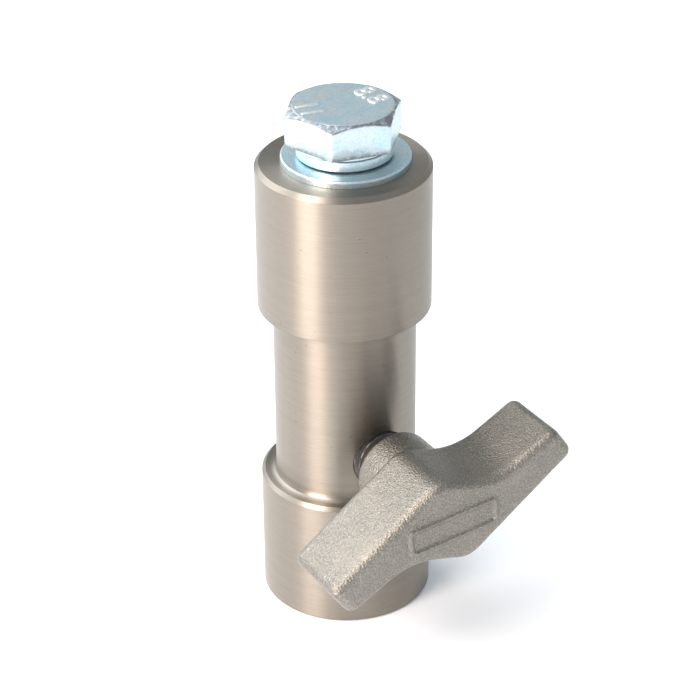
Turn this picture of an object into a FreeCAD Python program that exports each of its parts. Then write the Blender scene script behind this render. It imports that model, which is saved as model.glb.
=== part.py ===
import FreeCAD, Part
import math
import os
import re

import Sketcher

# Lighting spigot adaptor with a tee-handle clamp screw, in millimetres.
#
# The frame: the origin is the centre of the foot, where the stud socket opens. +Z runs up the
# turned body. The clamp screw lies along -Y, so its handle stands out on the -Y side.
#
# Threads are plain cylinders at the thread's outside diameter. A tapped hole is larger than its
# screw by thread_clearance all round.

SHEET_NAME = "sizes"

BODY_SIZES = {
    "overall_height": (80.0, "foot to top face"),
    "collar_radius": (14.3, "spigot of 1 1/8 inch"),
    "waist_radius": (11.8, "relieved middle"),
    "foot_collar_height": (22.8, "lower collar"),
    "top_collar_height": (25.4, "upper collar"),
    "waist_fillet": (1.1, "inside corner at the waist's foot"),
    "top_chamfer": (0.75, "upper collar's top edge"),
    "shoulder_chamfer": (0.6, "lower collar's top edge"),
    "foot_chamfer": (0.3, "foot's outside edge"),
    "socket_radius": (8.1, "takes a stud of 16 mm"),
    "socket_depth": (45.0, "foot to the socket's ceiling"),
    "socket_mouth_chamfer": (0.4, "lead-in for the stud"),
    "tapped_depth": (26.0, "full thread for the yoke bolt"),
    "tapped_mouth_chamfer": (0.7, "countersink above the thread"),
    "drill_point_angle": (118.0, "cone left by the drill"),
}

THREAD_SIZES = {
    "thread_radius": (5.0, "M10 outside radius"),
    "thread_clearance": (0.05, "tapped hole over its screw"),
    "thread_point_chamfer": (0.8, "end of a screw"),
}

BOLT_SIZES = {
    "bolt_length": (25.0, "under the head to the point"),
    "head_across_flats": (17.0, "M10 hexagon"),
    "head_height": (6.4, "with the washer face"),
    "washer_face_radius": (8.2, "turned face under the head"),
    "washer_face_height": (0.5, "turned face under the head"),
    "head_top_radius": (8.3, "flat disc on the head"),
    "head_top_angle": (30.0, "crown chamfer of the corners"),
    "head_turn": (48.0, "one corner, round from +X"),
}

WASHER_SIZES = {
    "plain_outer_radius": (10.5, "form B washer"),
    "plain_inner_radius": (5.45, "form B washer"),
    "plain_thickness": (1.25, "form B washer"),
    "plain_edge": (0.15, "rounded by stamping"),
    "spring_outer_radius": (7.85, "washer of square wire"),
    "spring_inner_radius": (5.35, "washer of square wire"),
    "spring_wire_height": (1.75, "wire along Z"),
    "spring_rise": (0.5, "climb over one turn"),
    "spring_gap": (14.0, "angle of the split"),
    "spring_split_turn": (58.0, "middle of the split, round from +X"),
    "seat_play": (0.02, "air at each washer's face"),
}

SCREW_SIZES = {
    "screw_axis_height": (30.0, "clamp screw above the foot"),
    "boss_seat": (14.8, "boss end, from the body's axis"),
    "nose_seat": (8.6, "stud's nose, from the body's axis"),
    "pad_seat": (8.3, "pad's face, from the body's axis"),
    "pad_radius": (3.25, "thrust pad"),
    "pad_thickness": (1.5, "thrust pad"),
    "pad_stem_radius": (1.4, "stem behind the pad"),
    "pad_stem_length": (2.5, "stem behind the pad"),
    "pad_clearance": (0.05, "pad in the stud, all round"),
    "anchor_depth": (14.0, "stud inside the handle"),
    "anchor_groove_start": (5.0, "groove, from the boss end"),
    "anchor_groove_width": (3.0, "filled by the casting"),
    "anchor_groove_depth": (0.9, "filled by the casting"),
}

HANDLE_SIZES = {
    "boss_radius": (6.9, "round boss"),
    "boss_edge": (0.8, "boss end rounding"),
    "boss_length": (6.0, "boss end to the blades' back"),
    "blade_depth": (13.1, "blades, back to front"),
    "hub_half_height": (8.6, "axis to each straight side"),
    "blade_reach": (22.1, "axis to a blade's end"),
    "blade_tip_height": (6.6, "blade at its end"),
    "blade_taper": (8.0, "hollow side, near the end"),
    "shoulder_angle": (50.0, "hollow side, near the hub"),
    "shoulder_radius": (4.5, "outside corner of the hub"),
    "hollow_radius": (12.0, "inside curve of the hollow"),
    "blade_edge": (1.6, "rounding of the casting"),
    "handle_turn": (34.9, "blades at rest, up from +X"),
    "panel_turn": (4.0, "panel at rest, up from +X"),
    "panel_length": (16.6, "raised frame"),
    "panel_height": (4.8, "raised frame"),
    "panel_shift": (0.5, "panel beside the axis, towards -X"),
    "panel_drop": (0.5, "panel below the axis"),
    "panel_corner": (1.0, "raised frame"),
    "panel_rim": (0.55, "width of the frame's line"),
    "panel_relief": (0.4, "height of the frame's line"),
}

SIZE_GROUPS = {
    "turned body": BODY_SIZES,
    "threads": THREAD_SIZES,
    "yoke bolt": BOLT_SIZES,
    "washers": WASHER_SIZES,
    "clamp screw": SCREW_SIZES,
    "handle": HANDLE_SIZES,
}

# The washers lie off centre on the bolt, by as much as their holes let them.
WASHER_DRIFT = {
    "plain_drift_x": (0.27, "plain washer, along X"),
    "plain_drift_y": (-0.27, "plain washer, along Y"),
    "spring_drift_x": (0.26, "spring washer, along X"),
    "spring_drift_y": (-0.11, "spring washer, along Y"),
}

# Heights above the foot.
PLAIN_TOP = "overall_height + plain_thickness"
SPRING_TOP = f"{PLAIN_TOP} + spring_wire_height + spring_rise"
HEAD_SEAT = f"{SPRING_TOP} + seat_play"

# Distances outward along the clamp screw, from the boss's end.
BLADE_BACK = "boss_length"
BLADE_FRONT = "boss_length + blade_depth"
NOSE = "(nose_seat - boss_seat)"
PAD_FACE = "(pad_seat - boss_seat)"
PAD_BACK = f"({PAD_FACE} + pad_thickness)"

# The stud's half outline inside the handle, radius and distance, from the groove outward.
STUD_ANCHOR = [
    ("thread_radius", "anchor_groove_start"),
    ("thread_radius - anchor_groove_depth", "anchor_groove_start"),
    ("thread_radius - anchor_groove_depth", "anchor_groove_start + anchor_groove_width"),
    ("thread_radius", "anchor_groove_start + anchor_groove_width"),
    ("thread_radius", "anchor_depth"),
    ("0", "anchor_depth"),
]

HANDLE_FACING = FreeCAD.Rotation(FreeCAD.Vector(1, 0, 0), 90)

PARTS_FOLDER = "parts"

doc = FreeCAD.newDocument("spigot_adaptor")


def fill_sheet(groups):
    """The spreadsheet of driving sizes: a name, its value and a note on each row."""
    cells = doc.addObject("Spreadsheet::Sheet", SHEET_NAME)
    row = 1
    for title, group in groups.items():
        cells.set(f"A{row}", title)
        row += 1
        for alias, (amount, note) in group.items():
            cells.set(f"A{row}", alias)
            cells.set(f"B{row}", str(amount))
            cells.set(f"C{row}", note)
            cells.setAlias(f"B{row}", alias)
            row += 1
    doc.recompute()
    return cells


sheet = fill_sheet({**SIZE_GROUPS, "washer places": WASHER_DRIFT})


def bound(text):
    """An expression on size names, with each name pointing into the sheet."""
    return re.sub(r"\b[a-z]\w*\b(?!\()", SHEET_NAME + r".\g<0>", text)


def amount_of(text):
    """The value of an expression on size names."""
    return float(sheet.evalExpression(bound(text)))


def bind(item, prop, text):
    """Ties a property of a document object to the sheet."""
    item.setExpression(prop, bound(text))


def new_body(label):
    body = doc.addObject("PartDesign::Body", label)
    body.Label = label
    return body


def place(body, x="0", y="0", z="0"):
    """Moves a body to a place worked out from the sheet."""
    for axis, text in (("x", x), ("y", y), ("z", z)):
        bind(body, f"Placement.Base.{axis}", text)


def new_sketch(body, name, plane, rise="0", turn="0"):
    """A sketch on one of the body's own planes, raised and turned in it."""
    sketch = body.newObject("Sketcher::SketchObject", name)
    support = next(item for item in body.Origin.OriginFeatures if item.Role == plane)
    sketch.AttachmentSupport = [(support, "")]
    sketch.MapMode = "FlatFace"
    bind(sketch, "AttachmentOffset.Base.z", rise)
    if turn != "0":
        bind(sketch, "AttachmentOffset.Rotation.Angle", turn)
    return sketch


def pin_point(sketch, shape, point, x, y):
    """Holds one point of a sketch at two distances from its origin."""
    for kind, text in (("DistanceX", x), ("DistanceY", y)):
        index = sketch.addConstraint(
            Sketcher.Constraint(kind, -1, 1, shape, point, amount_of(text))
        )
        bind(sketch, f"Constraints[{index}]", text)


def add_outline(sketch, corners):
    """A closed outline of straight sides through corners given as expressions."""
    spots = [FreeCAD.Vector(amount_of(x), amount_of(y), 0) for x, y in corners]
    first = sketch.GeometryCount
    count = len(corners)
    for index, spot in enumerate(spots):
        sketch.addGeometry(Part.LineSegment(spot, spots[(index + 1) % count]), False)
    for index, (x, y) in enumerate(corners):
        following = (index + 1) % count
        sketch.addConstraint(
            Sketcher.Constraint("Coincident", first + index, 2, first + following, 1)
        )
        pin_point(sketch, first + index, 1, x, y)


def add_circle(sketch, radius, x="0", y="0"):
    """A circle whose centre and radius follow the sheet."""
    centre = FreeCAD.Vector(amount_of(x), amount_of(y), 0)
    shape = sketch.addGeometry(
        Part.Circle(centre, FreeCAD.Vector(0, 0, 1), amount_of(radius)), False
    )
    pin_point(sketch, shape, 3, x, y)
    index = sketch.addConstraint(Sketcher.Constraint("Radius", shape, amount_of(radius)))
    bind(sketch, f"Constraints[{index}]", radius)
    return shape


def join_chain(sketch, links):
    """Closes a chain of lines and arcs; each link is (shape, end, next shape, end, kind)."""
    for shape, end, following, start, kind in links:
        sketch.addConstraint(Sketcher.Constraint(kind, shape, end, following, start))


def add_line(sketch, start, end):
    return sketch.addGeometry(Part.LineSegment(start, end), False)


def add_arc(sketch, centre, radius, low, high):
    """An arc drawn anticlockwise between two angles in degrees, with its radius on the sheet."""
    circle = Part.Circle(centre, FreeCAD.Vector(0, 0, 1), amount_of(radius))
    arc = Part.ArcOfCircle(circle, math.radians(low), math.radians(high))
    shape = sketch.addGeometry(arc, False)
    index = sketch.addConstraint(Sketcher.Constraint("Radius", shape, amount_of(radius)))
    bind(sketch, f"Constraints[{index}]", radius)
    return shape


def set_slope(sketch, line, degrees):
    """Holds a line's direction to an angle worked out from the sheet."""
    index = sketch.addConstraint(
        Sketcher.Constraint("Angle", line, math.radians(amount_of(degrees)))
    )
    bind(sketch, f"Constraints[{index}]", f"({degrees}) * 1 °")


def add_rounded_box(sketch, length, height, corner, x, y):
    """A box centred on one point of the sketch, with its four corners rounded."""
    half_x = amount_of(length) / 2
    half_y = amount_of(height) / 2
    inner_x = half_x - amount_of(corner)
    inner_y = half_y - amount_of(corner)
    middle = FreeCAD.Vector(amount_of(x), amount_of(y), 0)
    arcs = []
    for index, (side_x, side_y) in enumerate(((1, 1), (-1, 1), (-1, -1), (1, -1))):
        centre = middle + FreeCAD.Vector(side_x * inner_x, side_y * inner_y, 0)
        circle = Part.Circle(centre, FreeCAD.Vector(0, 0, 1), amount_of(corner))
        quarter = Part.ArcOfCircle(circle, index * math.pi / 2, (index + 1) * math.pi / 2)
        arcs.append(sketch.addGeometry(quarter, False))
        pin_point(sketch, arcs[-1], 3, f"({x}) + {side_x} * (({length}) / 2 - ({corner}))",
                  f"({y}) + {side_y} * (({height}) / 2 - ({corner}))")
    for index, arc in enumerate(arcs):
        following = arcs[(index + 1) % 4]
        side = add_line(sketch, sketch.getPoint(arc, 2), sketch.getPoint(following, 1))
        join_chain(sketch, [(arc, 2, side, 1, "Tangent"), (side, 2, following, 1, "Tangent")])
    index = sketch.addConstraint(Sketcher.Constraint("Radius", arcs[0], amount_of(corner)))
    bind(sketch, f"Constraints[{index}]", corner)


def add_sized(body, kind, name, sketch, length, reverse=False):
    """A pad or a pocket of a sketch."""
    feature = body.newObject(kind, name)
    feature.Profile = sketch
    feature.Reversed = reverse
    bind(feature, "Length", length)
    doc.recompute()
    return feature


def add_pad(body, name, sketch, length):
    return add_sized(body, "PartDesign::Pad", name, sketch, length)


def add_pocket(body, name, sketch, length, reverse=False):
    """A pocket, which must take material away."""
    before = body.Shape.Volume
    feature = add_sized(body, "PartDesign::Pocket", name, sketch, length, reverse)
    if body.Shape.Volume >= before:
        raise RuntimeError(f"{name} cuts nothing")
    return feature


def add_turned(body, kind, name, corners):
    """A revolution or a groove about the body's Z axis; corners are (radius, height)."""
    sketch = new_sketch(body, f"{name}_outline", "XZ_Plane")
    add_outline(sketch, corners)
    feature = body.newObject(kind, name)
    feature.Profile = sketch
    feature.ReferenceAxis = (sketch, ["V_Axis"])
    feature.Angle = 360
    doc.recompute()
    return feature


def rims(body, radius, height):
    """Names of the body's round edges of one radius about Z at one height."""
    names = []
    for index, edge in enumerate(body.Shape.Edges, 1):
        if edge.Degenerated or not isinstance(edge.Curve, Part.Circle):
            continue
        curve = edge.Curve
        near = math.isclose(curve.Radius, amount_of(radius), abs_tol=1e-4)
        if near and abs(curve.Center.z - amount_of(height)) < 1e-4:
            names.append(f"Edge{index}")
    if not names:
        raise RuntimeError(f"no rim at radius {radius}, height {height}")
    return names


def add_dressing(body, kind, name, edges, prop, text):
    """A chamfer or a fillet on named edges of the body's tip."""
    dressed = body.Tip
    feature = body.newObject(f"PartDesign::{kind}", name)
    feature.Base = (dressed, edges)
    bind(feature, prop, text)
    doc.recompute()
    return feature


def make_spigot_body():
    """The turned body, with the socket, the yoke bolt's hole and the clamp screw's hole."""
    body = new_body("spigot_body")
    waist_top = "overall_height - top_collar_height"
    add_turned(body, "PartDesign::Revolution", "turned_bar", [
        ("0", "0"),
        ("collar_radius", "0"),
        ("collar_radius", "foot_collar_height"),
        ("waist_radius", "foot_collar_height"),
        ("waist_radius", waist_top),
        ("collar_radius", waist_top),
        ("collar_radius", "overall_height"),
        ("0", "overall_height"),
    ])
    socket = new_sketch(body, "socket_circle", "XY_Plane")
    add_circle(socket, "socket_radius")
    add_pocket(body, "socket", socket, "socket_depth", reverse=True)
    add_yoke_bolt_hole(body)
    screw = new_sketch(body, "clamp_screw_circle", "XZ_Plane")
    add_circle(screw, "thread_radius + thread_clearance", y="screw_axis_height")
    add_pocket(body, "clamp_screw_hole", screw, "collar_radius", reverse=True)
    add_dressing(body, "Fillet", "waist_foot_fillet",
                 rims(body, "waist_radius", "foot_collar_height"), "Radius", "waist_fillet")
    for name, radius, height in (
        ("top_chamfer", "collar_radius", "overall_height"),
        ("shoulder_chamfer", "collar_radius", "foot_collar_height"),
        ("foot_chamfer", "collar_radius", "0"),
        ("socket_mouth_chamfer", "socket_radius", "0"),
        ("tapped_mouth_chamfer", "thread_radius + thread_clearance", "overall_height"),
    ):
        add_dressing(body, "Chamfer", f"{name}_cut", rims(body, radius, height), "Size", name)
    return body


def add_yoke_bolt_hole(body):
    """The tapped hole down from the top face, with the drill's cone below it."""
    sketch = new_sketch(body, "yoke_bolt_circle", "XY_Plane", rise="overall_height")
    add_circle(sketch, "thread_radius + thread_clearance")
    doc.recompute()
    before = body.Shape.Volume
    hole = body.newObject("PartDesign::Hole", "yoke_bolt_hole")
    hole.Profile = sketch
    doc.recompute()
    hole.Threaded = False
    hole.DepthType = "Dimension"
    hole.DrillPoint = "Angled"
    bind(hole, "Diameter", "2 * (thread_radius + thread_clearance)")
    bind(hole, "Depth", "tapped_depth")
    bind(hole, "DrillPointAngle", "drill_point_angle")
    doc.recompute()
    if body.Shape.Volume >= before:
        raise RuntimeError("yoke_bolt_hole cuts nothing")


def make_yoke_bolt():
    """Hexagon-head bolt; its own origin is under the head, on its axis."""
    body = new_body("yoke_bolt")
    hexagon = new_sketch(body, "head_hexagon", "XY_Plane", rise="washer_face_height")
    corner = "(head_across_flats / (2 * cos(30)))"
    add_outline(hexagon, [
        (f"{corner} * cos({angle} + head_turn)", f"{corner} * sin({angle} + head_turn)")
        for angle in range(0, 360, 60)
    ])
    add_pad(body, "head", hexagon, "head_height - washer_face_height")
    crown_drop = "(head_across_flats - head_top_radius) * tan(head_top_angle)"
    add_turned(body, "PartDesign::Groove", "crown", [
        ("head_top_radius", "head_height"),
        ("head_across_flats", "head_height"),
        ("head_across_flats", f"head_height - {crown_drop}"),
    ])
    face = new_sketch(body, "washer_face_circle", "XY_Plane")
    add_circle(face, "washer_face_radius")
    add_pad(body, "washer_face", face, "washer_face_height + seat_play")
    add_turned(body, "PartDesign::Revolution", "shank", [
        ("0", "0"),
        ("thread_radius", "0"),
        ("thread_radius", "thread_point_chamfer - bolt_length"),
        ("thread_radius - thread_point_chamfer", "-bolt_length"),
        ("0", "-bolt_length"),
    ])
    place(body, z=HEAD_SEAT)
    return body


def make_plain_washer():
    """Flat washer on the top face, with its stamped edges broken."""
    body = new_body("plain_washer")
    add_turned(body, "PartDesign::Revolution", "disc", [
        ("plain_inner_radius", "0"),
        ("plain_outer_radius", "0"),
        ("plain_outer_radius", "plain_thickness"),
        ("plain_inner_radius", "plain_thickness"),
    ])
    rim = rims(body, "plain_outer_radius", "0") + rims(body, "plain_outer_radius", "plain_thickness")
    add_dressing(body, "Fillet", "stamped_edge", rim, "Radius", "plain_edge")
    place(body, x="plain_drift_x", y="plain_drift_y", z="overall_height")
    return body


def make_spring_washer():
    """One split turn of square wire, which climbs from one side of the split to the other."""
    body = new_body("spring_washer")
    wire = new_sketch(body, "wire_section", "XZ_Plane")
    add_outline(wire, [
        ("spring_inner_radius", "0"),
        ("spring_outer_radius", "0"),
        ("spring_outer_radius", "spring_wire_height"),
        ("spring_inner_radius", "spring_wire_height"),
    ])
    coil = body.newObject("PartDesign::AdditiveHelix", "coil")
    coil.Profile = wire
    coil.ReferenceAxis = (wire, ["V_Axis"])
    coil.Mode = "height-turns-angle"
    bind(coil, "Height", "spring_rise")
    bind(coil, "Turns", "1 - spring_gap / 360")
    doc.recompute()
    place(body, x="spring_drift_x", y="spring_drift_y", z=PLAIN_TOP)
    bind(body, "Placement.Rotation.Angle", "spring_split_turn + spring_gap / 2")
    return body


def draw_blade(sketch):
    """Half of the handle's face: one blade and its half of the hub, the blade along +X."""
    half = amount_of("hub_half_height")
    reach = amount_of("blade_reach")
    shoulder = amount_of("shoulder_radius")
    hollow = amount_of("hollow_radius")
    steep = amount_of("shoulder_angle")
    taper = amount_of("blade_taper")

    def normal(degrees):
        angle = math.radians(degrees)
        return FreeCAD.Vector(math.sin(angle), math.cos(angle), 0)

    bottom = FreeCAD.Vector(0, -half, 0)
    corner = FreeCAD.Vector(reach, -half, 0)
    tip = FreeCAD.Vector(reach, amount_of("blade_tip_height") - half, 0)
    top = FreeCAD.Vector(0, half, 0)
    shoulder_centre = top - normal(0) * shoulder
    shoulder_end = shoulder_centre + normal(steep) * shoulder
    hollow_centre = meeting(shoulder_end, normal(steep), tip, normal(taper), hollow)
    hollow_high = hollow_centre - normal(steep) * hollow
    hollow_low = hollow_centre - normal(taper) * hollow

    straight = add_line(sketch, bottom, corner)
    end = add_line(sketch, corner, tip)
    thin = add_line(sketch, tip, hollow_low)
    curve = add_arc(sketch, hollow_centre, "hollow_radius", 270 - steep, 270 - taper)
    slope = add_line(sketch, hollow_high, shoulder_end)
    crown = add_arc(sketch, shoulder_centre, "shoulder_radius", 90 - steep, 90)
    middle = add_line(sketch, top, bottom)
    join_chain(sketch, [
        (straight, 2, end, 1, "Coincident"),
        (end, 2, thin, 1, "Coincident"),
        (thin, 2, curve, 2, "Tangent"),
        (curve, 1, slope, 1, "Tangent"),
        (slope, 2, crown, 1, "Tangent"),
        (crown, 2, middle, 1, "Coincident"),
        (middle, 2, straight, 1, "Coincident"),
    ])
    pin_point(sketch, straight, 1, "0", "-hub_half_height")
    pin_point(sketch, end, 1, "blade_reach", "-hub_half_height")
    pin_point(sketch, end, 2, "blade_reach", "blade_tip_height - hub_half_height")
    pin_point(sketch, crown, 3, "0", "hub_half_height - shoulder_radius")
    sketch.addConstraint(Sketcher.Constraint("PointOnObject", crown, 2, -2))
    set_slope(sketch, thin, "180 - blade_taper")
    set_slope(sketch, slope, "180 - shoulder_angle")


def meeting(first, first_normal, second, second_normal, distance):
    """The point that stands one distance off two lines, each given by a point and a normal."""
    first_reach = first.dot(first_normal) + distance
    second_reach = second.dot(second_normal) + distance
    spread = first_normal.x * second_normal.y - first_normal.y * second_normal.x
    return FreeCAD.Vector(
        (first_reach * second_normal.y - second_reach * first_normal.y) / spread,
        (second_reach * first_normal.x - first_reach * second_normal.x) / spread,
        0,
    )


def casting_edges(body):
    """The blades' edges that the casting rounds: front, back and the corners of both ends."""
    faces = (amount_of(BLADE_BACK), amount_of(BLADE_FRONT))
    names = []
    for index, edge in enumerate(body.Shape.Edges, 1):
        box = edge.BoundBox
        flat = box.ZLength < 1e-4 and min(abs(box.ZMin - face) for face in faces) < 1e-4
        reach = math.hypot(edge.Vertexes[0].X, edge.Vertexes[0].Y)
        upright = box.XLength < 1e-4 and box.YLength < 1e-4
        if flat or (upright and reach > amount_of("blade_reach")):
            names.append(f"Edge{index}")
    return names


def set_outward(body):
    """Turns a body's own Z axis to -Y, out along the clamp screw, from the boss's end."""
    body.Placement = FreeCAD.Placement(FreeCAD.Vector(), HANDLE_FACING)
    place(body, y="-boss_seat", z="screw_axis_height")


def make_clamp_handle():
    """Cast handle; its own origin is the boss's end on the screw's axis, with +Z outward."""
    body = new_body("clamp_handle")
    face = new_sketch(body, "blade_face", "XY_Plane", rise=BLADE_BACK, turn="handle_turn")
    draw_blade(face)
    blade = add_pad(body, "blade", face, "blade_depth")
    pair = body.newObject("PartDesign::PolarPattern", "blade_pair")
    pair.Originals = [blade]
    pair.Axis = (face, ["N_Axis"])
    pair.Angle = 360
    pair.Occurrences = 2
    pair.Refine = True
    body.Tip = pair
    doc.recompute()
    add_dressing(body, "Fillet", "cast_edges", casting_edges(body), "Radius", "blade_edge")
    boss = new_sketch(body, "boss_circle", "XY_Plane")
    add_circle(boss, "boss_radius")
    add_pad(body, "boss", boss, "boss_length + blade_depth / 2")
    add_dressing(body, "Fillet", "boss_end_edge", rims(body, "boss_radius", "0"),
                 "Radius", "boss_edge")
    rim = new_sketch(body, "panel_rim_face", "XY_Plane", rise=f"{BLADE_FRONT} - panel_relief",
                     turn="panel_turn")
    add_rounded_box(rim, "panel_length", "panel_height", "panel_corner",
                    "-panel_shift", "-panel_drop")
    add_rounded_box(rim, "panel_length - 2 * panel_rim", "panel_height - 2 * panel_rim",
                    "panel_corner - panel_rim", "-panel_shift", "-panel_drop")
    add_pad(body, "panel_frame", rim, "2 * panel_relief")
    add_turned(body, "PartDesign::Groove", "stud_seat", [
        ("0", "0"),
        ("thread_radius", "0"),
        *STUD_ANCHOR,
    ])
    set_outward(body)
    return body


def make_clamp_stud():
    """M10 stud, hollow at its nose for the thrust pad and anchored in the handle."""
    body = new_body("clamp_stud")
    floor = f"{PAD_BACK} + pad_clearance"
    bottom = f"{PAD_BACK} + pad_stem_length + pad_clearance"
    add_turned(body, "PartDesign::Revolution", "turned_stud", [
        ("0", bottom),
        ("pad_stem_radius + pad_clearance", bottom),
        ("pad_stem_radius + pad_clearance", floor),
        ("pad_radius + pad_clearance", floor),
        ("pad_radius + pad_clearance", NOSE),
        ("thread_radius - thread_point_chamfer", NOSE),
        ("thread_radius", f"{NOSE} + thread_point_chamfer"),
        *STUD_ANCHOR,
    ])
    set_outward(body)
    return body


def make_thrust_pad():
    """Brass pad with a stem, which turns freely in the stud's nose."""
    body = new_body("thrust_pad")
    add_turned(body, "PartDesign::Revolution", "turned_pad", [
        ("0", PAD_FACE),
        ("pad_radius", PAD_FACE),
        ("pad_radius", PAD_BACK),
        ("pad_stem_radius", PAD_BACK),
        ("pad_stem_radius", f"{PAD_BACK} + pad_stem_length"),
        ("0", f"{PAD_BACK} + pad_stem_length"),
    ])
    set_outward(body)
    return body


def check_document():
    """Every object must have been worked out, and every body must hold a sound shape."""
    for item in doc.Objects:
        if "Invalid" in item.State or "Error" in item.State:
            raise RuntimeError(f"{item.Name} failed: {item.State}")


def write_parts(bodies):
    os.makedirs(PARTS_FOLDER, exist_ok=True)
    for body in bodies:
        shape = body.Shape
        if shape.isNull() or not shape.isValid():
            raise RuntimeError(f"{body.Label} has no sound shape")
        shape.exportStep(os.path.join(PARTS_FOLDER, f"{body.Label}.step"))
        print(f"{body.Label}: {len(shape.Solids)} solid, {shape.Volume:.1f} mm3")


def main():
    makers = (
        make_spigot_body,
        make_yoke_bolt,
        make_spring_washer,
        make_plain_washer,
        make_clamp_handle,
        make_clamp_stud,
        make_thrust_pad,
    )
    bodies = [make() for make in makers]
    doc.recompute()
    check_document()
    write_parts(bodies)


main()
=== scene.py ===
"""Looks of a studio-lighting spigot adaptor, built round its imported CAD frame.

Every size is in metres and every angle in radians. The frame is the CAD model's: the origin is the
centre of the foot, +Z runs up the turned body and the clamp screw points along -Y.
"""

import math

import bmesh
import bpy
from bpy.props import FloatProperty, FloatVectorProperty, IntProperty, PointerProperty
from mathutils import Matrix, Vector


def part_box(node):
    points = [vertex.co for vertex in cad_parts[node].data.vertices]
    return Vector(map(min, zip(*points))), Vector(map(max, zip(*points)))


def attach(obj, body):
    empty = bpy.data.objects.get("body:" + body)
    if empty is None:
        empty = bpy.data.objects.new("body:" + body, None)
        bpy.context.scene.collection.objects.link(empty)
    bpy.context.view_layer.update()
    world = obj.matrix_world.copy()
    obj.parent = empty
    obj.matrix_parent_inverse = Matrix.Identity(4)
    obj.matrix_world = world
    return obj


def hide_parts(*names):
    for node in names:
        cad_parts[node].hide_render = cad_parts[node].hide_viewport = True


bl_info = {
    "name": "Spigot Adaptor Looks",
    "version": (1, 0, 0),
    "blender": (4, 5, 0),
    "location": "3D View > Sidebar > Adaptor",
    "description": "Builds the finished pieces of a lighting spigot adaptor round its CAD frame",
    "category": "Add Mesh",
}

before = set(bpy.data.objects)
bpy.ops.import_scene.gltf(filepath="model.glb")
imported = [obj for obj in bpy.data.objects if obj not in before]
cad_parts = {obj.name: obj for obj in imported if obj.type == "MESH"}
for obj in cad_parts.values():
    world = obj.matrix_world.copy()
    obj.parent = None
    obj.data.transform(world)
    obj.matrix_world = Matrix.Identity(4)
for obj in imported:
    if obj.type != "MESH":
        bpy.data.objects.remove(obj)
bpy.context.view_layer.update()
FINISH_PREFIX = "finish_"

MM = 0.001
FULL_TURN = 2 * math.pi
HOLE_MARGIN = 3 * MM
RING_STEP = 0.5 * MM
SHANK_OVERLAP = 0.2 * MM
FIGURE_STEP = 0.01 * MM
THREAD_ROWS = 16
WIRE_POINTS = 160
HEAD_COLUMNS = 288
SCREW_FACETS = 96
WASHER_FACETS = 192
UP = Vector((0, 0, 1))


def span(node):
    """Lowest and highest corner of a CAD node."""
    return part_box(node)


def middle(node):
    """Centre of a CAD node's box."""
    low, high = span(node)
    return (low + high) / 2


def width(node):
    """Size of a CAD node's box along X."""
    low, high = span(node)
    return high.x - low.x


BODY_TOP = span("spigot_body")[1].z
SCREW_HEIGHT = middle("thrust_pad").z
HEAD_TOP = span("yoke_bolt")[1].z
BOLT_POINT = span("yoke_bolt")[0].z
PLAIN_LOW, PLAIN_HIGH = span("plain_washer")
SPRING_LOW, SPRING_HIGH = span("spring_washer")
STUD_BACK, STUD_NOSE = span("clamp_stud")
PAD_BACK, PAD_FACE = span("thrust_pad")
ALONG_SCREW = Matrix.Translation((0, 0, SCREW_HEIGHT)) @ Matrix.Rotation(math.pi / 2, 4, "X")


# ---------------------------------------------------------------------------------- settings


def length(name, default, description):
    """A size in metres."""
    return FloatProperty(
        name=name, description=description, default=default, min=0.0, precision=5,
        unit="LENGTH", subtype="DISTANCE",
    )


def angle(name, degrees, description):
    """An angle, given in degrees and kept in radians."""
    return FloatProperty(
        name=name, description=description, default=math.radians(degrees),
        unit="ROTATION", subtype="ANGLE",
    )


def colour(name, default, description):
    """A linear colour."""
    return FloatVectorProperty(
        name=name, description=description, default=(*default, 1.0), size=4,
        min=0.0, max=1.0, subtype="COLOR",
    )


class SpigotSizes(bpy.types.PropertyGroup):
    """The turned body."""

    collar_radius: length("Collar radius", width("spigot_body") / 2, "Upper and lower collar")
    waist_radius: length("Waist radius", 11.8 * MM, "Relieved middle")
    waist_foot: length("Waist foot", 22.8 * MM, "Top of the lower collar")
    waist_head: length("Waist head", 54.6 * MM, "Underside of the upper collar")
    waist_fillet: length("Waist fillet", 1.1 * MM, "Inside corner at the waist's foot")
    top_chamfer: length("Top chamfer", 0.75 * MM, "Upper collar's top edge")
    shoulder_chamfer: length("Shoulder chamfer", 0.6 * MM, "Lower collar's top edge")
    foot_chamfer: length("Foot chamfer", 0.3 * MM, "Foot's outside edge")
    socket_radius: length("Socket radius", 8.1 * MM, "Takes a 16 mm stud")
    socket_depth: length("Socket depth", 45.0 * MM, "Foot to the socket's ceiling")
    socket_mouth: length("Socket mouth", 0.4 * MM, "Lead-in chamfer")
    tapped_radius: length("Tapped radius", 5.05 * MM, "Holes for the bolt and the clamp screw")
    tapped_depth: length("Tapped depth", 26.0 * MM, "Full thread for the bolt")
    tapped_mouth: length("Tapped mouth", 0.7 * MM, "Countersink above the thread")
    drill_slope: angle("Drill slope", 31.0, "Fall of the cone left by the drill")
    edge_break: length("Edge break", 0.06 * MM, "Rounding of a turned edge")
    hole_flare: length("Hole flare", 0.7 * MM, "Clamp screw's hole, wider outside the waist")
    hole_flare_depth: length("Flare depth", 0.2 * MM, "How far the flare reaches in")
    segments: IntProperty(name="Segments", description="Facets round the body", default=288, min=24)


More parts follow.
